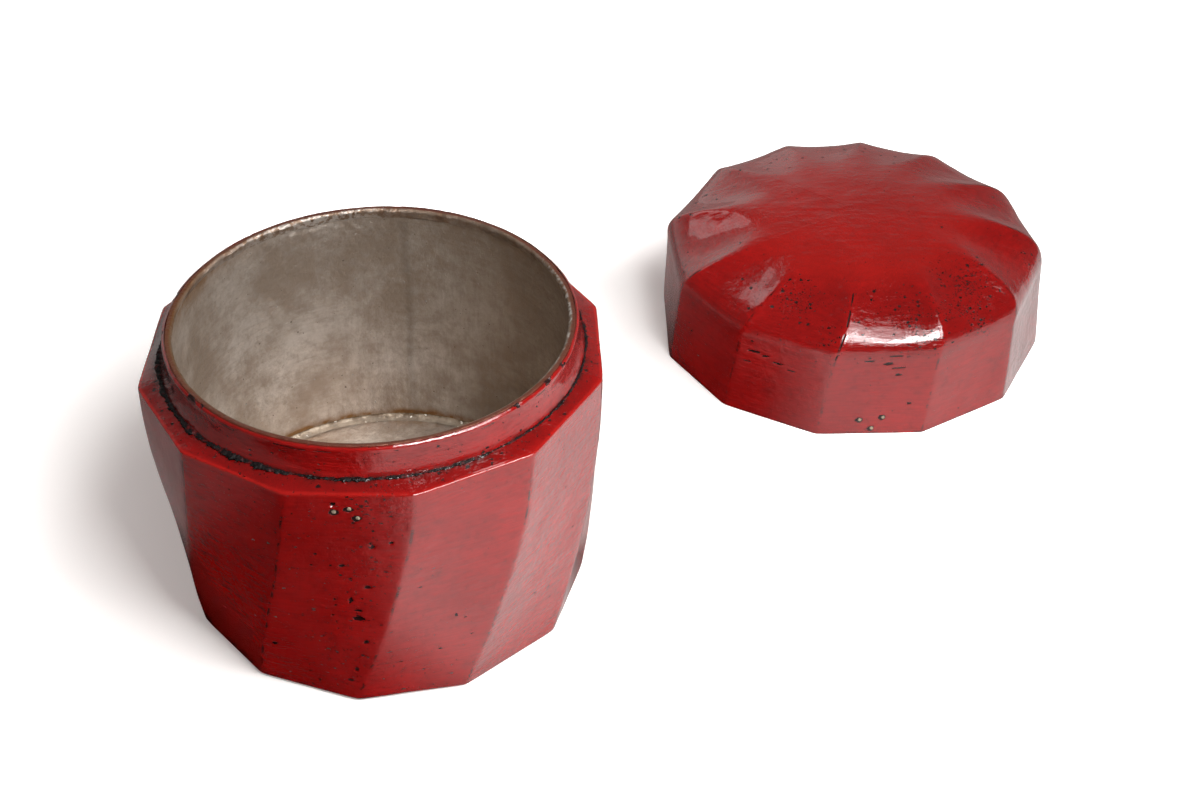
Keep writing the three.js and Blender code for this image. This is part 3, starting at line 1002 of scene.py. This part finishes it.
def tin_wall():
    foot = (lining_radius(LINING_FOOT), LINING_FOOT)
    top = (lining_radius(NECK_TOP), NECK_TOP)
    rings = turned(sheet_profile(foot, top, LINING_ROWS))
    plain = rings[2:]
    depth = RIM_TOP - plain[..., 2]
    from_seam = np.radians(bearings(plain) - SEAM_ANGLE) * MOUTH_RADIUS
    from_seam = from_seam + 1.2 * bumps(plain * IN_HEIGHT, 20, 16)
    on_lap = smooth_step(from_seam, -1, 1) * (from_seam < SEAM_LAP)
    lap = 0.35 * near(from_seam, 1.3) + 0.25 * on_lap
    creased = facing(plain, RIM_CREASED_SIDE, 45)
    bulge = 0.9 * creased * near(depth - CREASE_DEPTH, 2.5) * np.abs(layered(plain, TIN_CREASES))
    sheet = pushed(plain, -layered(plain, TIN_DENTS) - 0.8 * lap - bulge)
    rings[2:] = sheet
    patchy = smooth_step(bumps(sheet, 26, 20), -0.15, 0.35)
    stain = 0.3 * patchy + 1.3 * facing(sheet, RIM_OCHRE_SIDE, 70)
    stain = near(depth, RIM_STAIN) * stain * (1 - creased)
    above_bead = sheet[..., 2] - FLOOR_TOP - BEAD_RISE + 0.8 * bumps(sheet * IN_PLAN, 8, 43)
    stain = stain + 2 * near(above_bead, BEAD_STAIN)
    # patina and painted shade: the wall darker towards the top and on its right side, where it is
    # in shade; painted light keeps the creased bulge near the rim pale
    dull = 0.6 * smooth_step(depth, 70, 10) + 0.6 * facing(sheet, LINING_SHADED_SIDE, 80)
    dull = dull - 0.9 * creased * near(depth, 8)
    fields = padded(
        2,
        0,
        stain=np.clip(stain, 0, 1.6),
        dull=np.clip(dull, 0, 1),
        seam=near(from_seam, 1.6),
    )
    piece = skin("tin_wall", rings, closed=True, **fields)
    dress(piece, "box_body", "tin", TIN, "body_lining_wall")


def tin_floor():
    radius = lining_radius(LINING_FOOT) - SEAT_GAP
    face = line((radius, FLOOR_TOP), (0, FLOOR_TOP), FLOOR_ROWS)
    rings = turned(path((radius, LINING_FOOT), face))
    top = rings[1:]
    rings[1:] = pushed(top, 0, layered(top, FLOOR_DENTS))
    near_wall = smooth_step(axis_distance(top), radius - 7, radius - 1)
    piece = skin("tin_floor", rings, **padded(1, 0, stain=0.2 + 0.5 * near_wall, seam=0))
    dress(piece, "box_body", "tin", TIN, "body_lining_floor")


def solder_bead():
    foot = FLOOR_TOP + BEAD_GAP
    wall = lining_radius(foot) - BEAD_GAP
    turn = np.linspace(0, np.pi / 2, BEAD_POINTS)
    face_radius = wall - BEAD_WIDTH * (1 - np.sin(turn))
    face = np.stack([face_radius, foot + BEAD_RISE * (1 - np.cos(turn))], -1)
    rings = turned(path(face, (wall, foot)), 2 * ROUND_COLUMNS)
    z = rings[..., 2]
    lumps = np.abs(layered(rings, BEAD_LUMPS))
    out = -0.9 * lumps * smooth_step(z, foot + BEAD_RISE, foot)
    low = smooth_step(z, foot + 0.6 * BEAD_RISE, foot)
    piece = skin("solder_bead", pushed(rings, out, 0.45 * lumps), closed=True, low=low)
    dress(piece, "box_body", "stained_tin", STAINED, "floor_bead")


def rim_edge():
    inner = MOUTH_RADIUS - SEAT_GAP - SHEET
    outer = NECK_TOP_RADIUS - RIM_LAP - RIM_GAP
    under = NECK_TOP + 0.2
    fold = RIM_TOP - RIM_FOLD
    fold_radius = inner + SHEET - 0.15
    profile = path(
        (inner + SHEET, fold),
        (inner + SHEET, under),
        (outer, under),
        (outer, RIM_TOP - 0.4),
        (outer - 0.12, RIM_TOP - 0.14),
        (outer - 0.4, RIM_TOP - 0.02),
        line((outer - 0.7, RIM_TOP), (inner + 0.9, RIM_TOP), 6),
        (inner + 0.9, RIM_TOP),
        (inner + 0.5, RIM_TOP - 0.14),
        (inner + 0.16, RIM_TOP - 0.5),
        line((inner - 0.1, RIM_TOP - 1), (fold_radius, fold), 8),
        (fold_radius, fold),
    )
    rings = turned(profile, 2 * ROUND_COLUMNS)
    radius = axis_distance(rings)
    depth = RIM_TOP - rings[..., 2]
    on_skirt = radius < inner + SHEET - 0.1
    skirt = smooth_step(depth, 0.2, 1.2) * on_skirt
    bulge = np.abs(layered(rings, RIM_BULGES)) * skirt * smooth_step(depth, RIM_FOLD, 1.5)
    knocks = layered(rings, RIM_KNOCKS)
    ragged = 0.8 * bumps(rings * IN_PLAN, 9, 30) * smooth_step(depth, RIM_FOLD - 0.8, RIM_FOLD)
    lifted = RIM_LIFT * facing(rings, RIM_HIGH_SIDE, 80) * smooth_step(depth, RIM_FOLD, 0.8)
    out = 0.4 * knocks * (1 - skirt) - bulge
    up = 0.6 * knocks * (1 - skirt) + ragged + lifted
    # painted glints on the back of the rim's inner edge
    frosty_back = 0.7 * facing(rings, RIM_GLINTING_BACK, 40)
    piece = skin(
        "rim_edge",
        pushed(rings, out, up),
        closed=True,
        inward=outer - radius + depth * on_skirt,
        ochre=0.5 + 0.5 * facing(rings, RIM_OCHRE_SIDE, 75),
        frosty=np.maximum(facing(rings, RIM_FROSTY_SIDE, 45), frosty_back),
    )
    dress(piece, "box_body", "stained_tin", RIM, "rim_strip")


# Pieces of the lid

def carved_lid():
    form = lid_form()
    plain = carved(form)
    ragged = bumps(plain, CHIP_GRAIN, 31)
    across = across_facet(form)
    bare = bareness(across, form.z, LID_CHIPS, ragged)
    bare = bare + bareness(across, form.z, LID_LEFT_CHIPS, ragged, LEFT_FACET)
    dark = bareness(across, form.z, peg_stains(LID_PEGS), ragged)
    from_ridge = np.radians(COLUMNS.angle - FIRST_RIDGE - RIDGE_STRAY[0]) * form.radius
    scar = near(from_ridge, SCAR_WIDTH) * smooth_step(form.z, 34, 46) * (form.radius > 60)
    scar = scar * smooth_step(bumps(plain, 4, 38), -0.35, 0.1)
    daubed = layered(plain, DOME_DAUBS) * smooth_step(form.z, 34, 44)
    daubed = daubed * smooth_step(form.radius, 30, 60)
    relief = layered(plain, KNIFE_MARKS) * smooth_step(form.z, 0, 4) + daubed
    outside = carved(form, relief - LID_CHIP_DEPTH * bare - SCAR_DEPTH * scar)
    hollow_radius = MOUTH_RADIUS + SHEET + SEAT_GAP
    inside = round_rings(
        path(
            dome_profile(hollow_radius, HOLLOW_SPRING, HOLLOW_TOP, HOLLOW_ROWS)[::-1],
            (hollow_radius, LID_LEDGE),
            (LID_BORE, LID_LEDGE),
            (LID_BORE, LID_CHAMFER),
            (LID_BORE + LID_CHAMFER, 0),
        )
    )
    on_dome = smooth_step(form.z, LID_WALL_HEIGHT - 3, LID_WALL_HEIGHT + 7)
    in_flute = smooth_step(1 - form.fade**2 - COLUMNS.across**2, 0, 0.35) * on_dome
    # painted light: the back of the dome made brighter
    lit_back = 0.6 * facing(plain, LID_LIT_SIDE, 110) * on_dome
    round_shoulder = near(form.radius - DOME_SHOULDER_RADIUS, DOME_SHOULDER_REACH)
    round_shoulder = round_shoulder * (form.z > LID_WALL_HEIGHT)
    patches = smooth_step(bumps(plain, 30, 32), -0.1, 0.35)
    fields = padded(
        len(inside),
        0,
        bare=np.maximum.reduce([bare, dark, scar]),
        ridge=near(ridge_distance(form), RIDGE_WEAR) * (1 - form.fade.clip(0, 1)),
        foot=near(form.z, LID_EDGE_WEAR),
        # painted shade in the front hollows of the flutes
        dulled=0.55 * in_flute * facing(plain, LID_SHADED_SIDE, 130),
        # painted light on the middle of the dome's top and on its back
        edge=np.maximum(0.55 * smooth_step(form.radius, 66, 44), lit_back),
        flecks=np.maximum(1.7 * pitted(plain), 0.3 * round_shoulder * patches),
    )
    piece = skin("carved_lid", on_lid(np.concatenate([inside, outside])), **fields)
    dress(piece, "lid", "lacquer", LACQUER, "lid_shell")


def pitted(points):
    """How pitted each point of the lid is."""
    pits = np.zeros(points.shape[:2])
    for bearing, distance, reach in LID_PITTED:
        spot = rotated(distance, 0, 0, bearing)
        pits = np.maximum(pits, near(axis_distance(points - spot), reach))
    return pits * smooth_step(points[..., 2], LID_WALL_HEIGHT, LID_WALL_HEIGHT + 8)


def lid_tin_wall():
    foot = (MOUTH_RADIUS, LID_LEDGE)
    top = (MOUTH_RADIUS, HOLLOW_SPRING - SEAT_GAP)
    rings = turned(sheet_profile(foot, top, LID_LINING_ROWS))
    sheet = rings[2:]
    dents = 0.25 * np.abs(bumps(sheet, 18, 33)) + 0.06 * bumps(sheet, 6, 34)
    rings[2:] = pushed(sheet, -dents)
    piece = skin("lid_tin_wall", on_lid(rings), closed=True, stain=0.2, seam=0)
    dress(piece, "lid", "tin", TIN, "lid_lining_wall")


def lid_tin_crown():
    top = HOLLOW_TOP - SEAT_GAP
    outer = dome_profile(MOUTH_RADIUS + SHEET, HOLLOW_SPRING, top, CROWN_ROWS)
    inner = dome_profile(MOUTH_RADIUS, HOLLOW_SPRING, top - SHEET, CROWN_ROWS)
    rings = turned(path(inner[::-1], outer))
    sheet = rings[:CROWN_ROWS]
    rings[:CROWN_ROWS] = pushed(sheet, 0, -np.abs(layered(sheet, CROWN_DENTS)))
    piece = skin("lid_tin_crown", on_lid(rings), stain=0.2, seam=0)
    dress(piece, "lid", "tin", TIN, "lid_lining_crown")


# Pegs

def peg_head(bearing, distance, across, z, seed):
    """Points of a worn peg head in the marked facet, with its shank in the wood."""
    turn = np.linspace(0, np.pi / 2, PEG_ROWS + 1)[:-1]
    head = np.stack([PEG_RADIUS * np.cos(turn), PEG_HEAD * np.sin(turn)], -1)
    rings = turned(path((PEG_RADIUS, -PEG_SHANK), head), PEG_COLUMNS)
    rings = pushed(rings, 0.12 * bumps(rings, 0.8, seed), 0.08 * bumps(rings, 0.5, seed + 1))
    worn = axis_distance(rings) / PEG_RADIUS
    sideways, upwards, out = np.moveaxis(rings, -1, 0)
    points = rotated(distance + out, across + sideways, z + upwards, bearing)
    return points, worn


def peg_heads(prefix, pegs, body, form, in_place):
    """Peg heads of the marked facet of the body or of the lid."""
    ridges = FIRST_RIDGE + np.array((0, 360 / FACETS)) + RIDGE_STRAY[:2]
    half = math.radians(ridges[1] - ridges[0]) / 2
    for number, (across, z) in enumerate(pegs, 1):
        radius = np.interp(z, form.z[:, 0], form.radius[:, 0])
        bearing = ridges.mean() + np.interp(z, form.z[:, 0], form.twist[:, 0])
        points, worn = peg_head(bearing, radius * math.cos(half), across, z, PEG_SEED + number)
        piece = skin(f"{prefix}_head_{number}", in_place(points), worn=worn)
        dress(piece, body, "peg", PEG, f"{prefix}_{number}")


# Stage

WHITE = (1, 1, 1, 1)
PAPER = (0.9, 0.885, 0.87, 1)
MIRRORED_PAPER = (0.004, 0.004, 0.004, 1)
GLOW_WARM = (1, 0.9, 0.87, 1)
MIRRORED_PINK = (1, 0.74, 0.71, 1)
MIRRORED_PALE = (1, 0.96, 0.94, 1)
ROOM = (1, 0.97, 0.94, 1)


def floor():
    """White paper, with a glow where the photograph shows it bright or mirrored in the lacquer."""
    mesh = bpy.data.meshes.new("floor")
    signs = ((-1, -1), (1, -1), (1, 1), (-1, 1))
    mesh.from_pydata([(x * FLOOR_REACH, y * FLOOR_REACH, 0) for x, y in signs], [], [(0, 1, 2, 3)])
    plane = new_object("floor", mesh)
    plane.location.z = -FLOOR_DROP
    material = bpy.data.materials.new("floor_white")
    material.use_nodes = True
    tree = material.node_tree
    tree.nodes.remove(tree.nodes["Principled BSDF"])
    rays = add_node(tree, "LightPath").outputs
    reflected = most(tree, rays["Is Glossy Ray"], rays["Is Transmission Ray"])
    own = add_node(tree, "TexCoord").outputs["Object"]
    x = place_along(tree, own, "X")
    y = place_along(tree, own, "Y")

    def towards(direction):
        return vector_maths(tree, "DOT_PRODUCT", {0: own, 1: direction}, "Value")

    def away_from(spot):
        return vector_maths(tree, "DISTANCE", {0: own, 1: spot}, "Value")

    far = between(tree, away_from(SHADED_MIDDLE), 0.24, 0.42)
    back = between(tree, y, 0.2, 0.29)
    right = between(tree, towards(RIGHTWARDS), 0.06, 0.13)
    right = times(tree, right, between(tree, x, -0.03, 0.05))
    bright = times(tree, most(tree, far, back, right), 0.85)
    shown = times(tree, rays["Is Camera Ray"], plus(tree, bright, 0.3))
    mirrored = most(
        tree,
        times(tree, right, between(tree, y, 0.16, 0.04, 0.72, 1)),
        between(tree, towards(BACKWARDS), 0.08, 0.2, 0, 0.28),
        between(tree, towards(LEFTWARDS), 0.085, 0.13, 0, 0.19),
        between(tree, away_from(BESIDE_BODY), 0.045, 0.015, 0, 0.5),
    )
    seen = blend(tree, bright, GLOW_WARM, WHITE)
    seen_in_lacquer = blend(tree, right, MIRRORED_PINK, MIRRORED_PALE)
    tint = blend(tree, reflected, seen, seen_in_lacquer)
    strength = plus(tree, shown, times(tree, reflected, mirrored))
    glow = add_node(tree, "Emission", {"Color": tint, "Strength": strength})
    tone = blend(tree, reflected, PAPER, MIRRORED_PAPER)
    paper = add_node(tree, "BsdfDiffuse", {"Color": tone})
    both = add_node(tree, "AddShader", {0: paper.outputs[0], 1: glow.outputs[0]})
    set_inputs(tree.nodes["Material Output"], {"Surface": both.outputs[0]})
    mesh.materials.append(material)


def lamp(
    name, bearing, height, distance, size, power, target=LAMP_TARGET, spread=180, shape="RECTANGLE"
):
    """Soft lamp that faces the target from a bearing and a height in degrees."""
    light = bpy.data.lights.new(name, "AREA")
    light.shape = shape
    light.size, light.size_y = size
    light.energy = power
    light.spread = math.radians(spread)
    holder = new_object(name, light)
    level = distance * math.cos(math.radians(height))
    rise = distance * math.sin(math.radians(height))
    holder.location = rotated(level, 0, rise, bearing) + target
    holder.rotation_euler = (math.radians(90 - height), 0, math.radians(bearing) + math.pi / 2)


def studio():
    world = bpy.data.worlds.new("studio")
    world.use_nodes = True
    tree = world.node_tree
    direction = add_node(tree, "TexCoord").outputs["Generated"]
    behind = between(tree, place_along(tree, direction, "Y"), 0.2, 0.75)
    low = between(tree, place_along(tree, direction, "Z"), 0.7, 0.25)
    leftwards = between(tree, place_along(tree, direction, "X"), 0.4, -0.3, 0.1, 0.5)
    glow = plus(tree, times(tree, behind, low, leftwards), 0.06)
    shown = add_node(tree, "LightPath").outputs["Is Camera Ray"]
    backdrop = {"Color": blend(tree, shown, ROOM, WHITE), "Strength": most(tree, glow, shown)}
    set_inputs(tree.nodes["Background"], backdrop)
    bpy.context.scene.world = world
    lamp("key_softbox", 326, 46, 1.05, (0.45, 0.45), 0.85, target=(0.1, 0.03, 0.04), spread=60)
    lamp("front_softbox", 304, 54, 1.05, (0.32, 0.38), 1.14, target=(0.03, 0, 0.05), spread=60)
    lamp("right_softbox", 340, 62, 1.1, (0.5, 0.5), 2.4)
    lamp("back_softbox", 118, 40, 1.2, (0.42, 0.3), 0.4, shape="ELLIPSE")


def camera():
    eye = bpy.data.cameras.new("camera")
    eye.sensor_fit = "HORIZONTAL"
    eye.sensor_width = SENSOR_WIDTH
    eye.lens = SENSOR_WIDTH * FOCAL_PIXELS / PHOTO_WIDTH
    holder = new_object("camera", eye)
    holder.location = CAMERA_PLACE
    holder.rotation_euler = (math.radians(90 - CAMERA_PITCH), 0, 0)
    bpy.context.scene.camera = holder


carved_body()
turned_neck()
neck_crust()
tin_wall()
tin_floor()
solder_bead()
rim_edge()
peg_heads("body_peg", BODY_PEGS, "box_body", body_form(), np.asarray)
carved_lid()
lid_tin_wall()
lid_tin_crown()
peg_heads("lid_peg", LID_PEGS, "lid", lid_form(), on_lid)
floor()
studio()
camera()
bpy.context.scene.view_settings.view_transform = "Standard"
